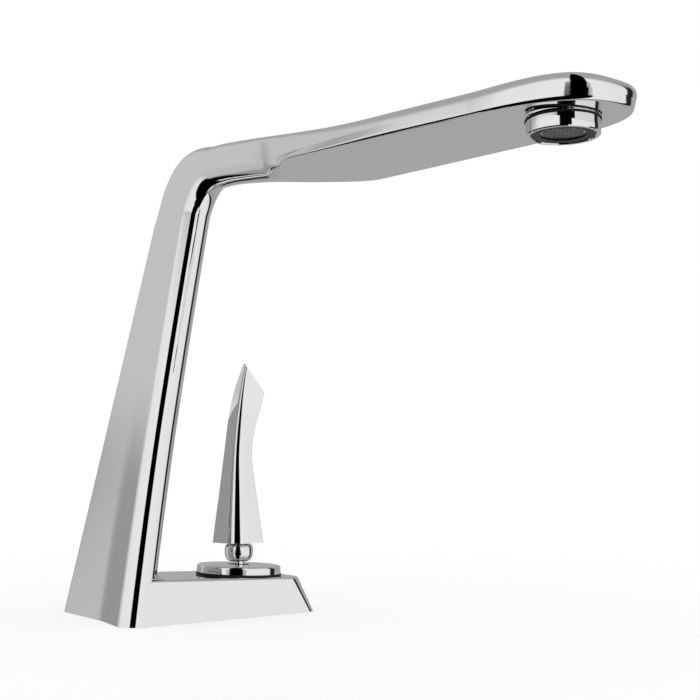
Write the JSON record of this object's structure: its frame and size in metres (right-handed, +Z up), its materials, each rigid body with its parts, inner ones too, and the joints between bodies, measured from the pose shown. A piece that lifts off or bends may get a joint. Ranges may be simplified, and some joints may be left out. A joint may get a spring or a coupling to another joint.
{
  "type": "single-lever basin mixer",
  "caption": "Chrome single-lever basin mixer: leaning blade column with a flat paddle spout, and a slim joystick lever on its low foot.",
  "frame": {"origin": "where the lever's axis meets the deck plane", "axes": "+Z up, the spout points to -Y, the foot with the lever is on the +X side of the column"},
  "size_m": [0.101, 0.3043, 0.2777],
  "materials": {
    "chrome": "mirror",
    "black_rubber": "matte",
    "black_plastic": "satin",
    "stainless_steel": "brushed",
    "brass": "machined",
    "white_plastic": "satin",
    "ceramic": "polished"
  },
  "bodies": {
    "root": {"body_casting": "chrome", "cover_disc": "chrome", "aerator_collar": "chrome", "trim_ring": "black_rubber", "aerator_gasket": "black_rubber", "deck_gasket": "black_rubber", "rubber_washer": "black_rubber", "cartridge_o_ring": "black_rubber", "inlet_seals": "black_rubber", "aerator_insert": "black_plastic", "flow_regulator": "black_plastic", "cartridge_base": "black_plastic", "aerator_mesh": "stainless_steel", "steel_washer": "stainless_steel", "shank_nut": "brass", "cartridge_nut": "brass", "cartridge_housing": "white_plastic", "fixed_ceramic_disc": "ceramic"},
    "turn_body": {"spindle_carrier": "white_plastic", "pivot_pin": "stainless_steel"},
    "lever_body": {"lever_handle": "chrome", "ball_collar": "chrome", "lever_stem": "chrome", "lever_grub_screw": "stainless_steel"},
    "slide_body": {"disc_carrier": "white_plastic", "moving_ceramic_disc": "ceramic"}
  },
  "joints": [
    {"name": "lever_turn", "type": "hinge", "parent": "root", "child": "turn_body", "pos_m": [0, 0, 0.017], "axis": [0, 0, 1], "range_deg": [-45, 45]},
    {"name": "lever_tilt", "type": "hinge", "parent": "turn_body", "child": "lever_body", "pos_m": [0, 0, 0.017], "axis": [1, 0, 0], "range_deg": [0, 12]},
    {"name": "disc_slide", "type": "slide", "parent": "turn_body", "child": "slide_body", "axis": [0, 1, 0], "range_m": [0, 0.00252]}
  ],
  "couplings": [
    {"joint": "disc_slide", "follows": "lever_tilt", "m_per_rad": 0.012}
  ]
}
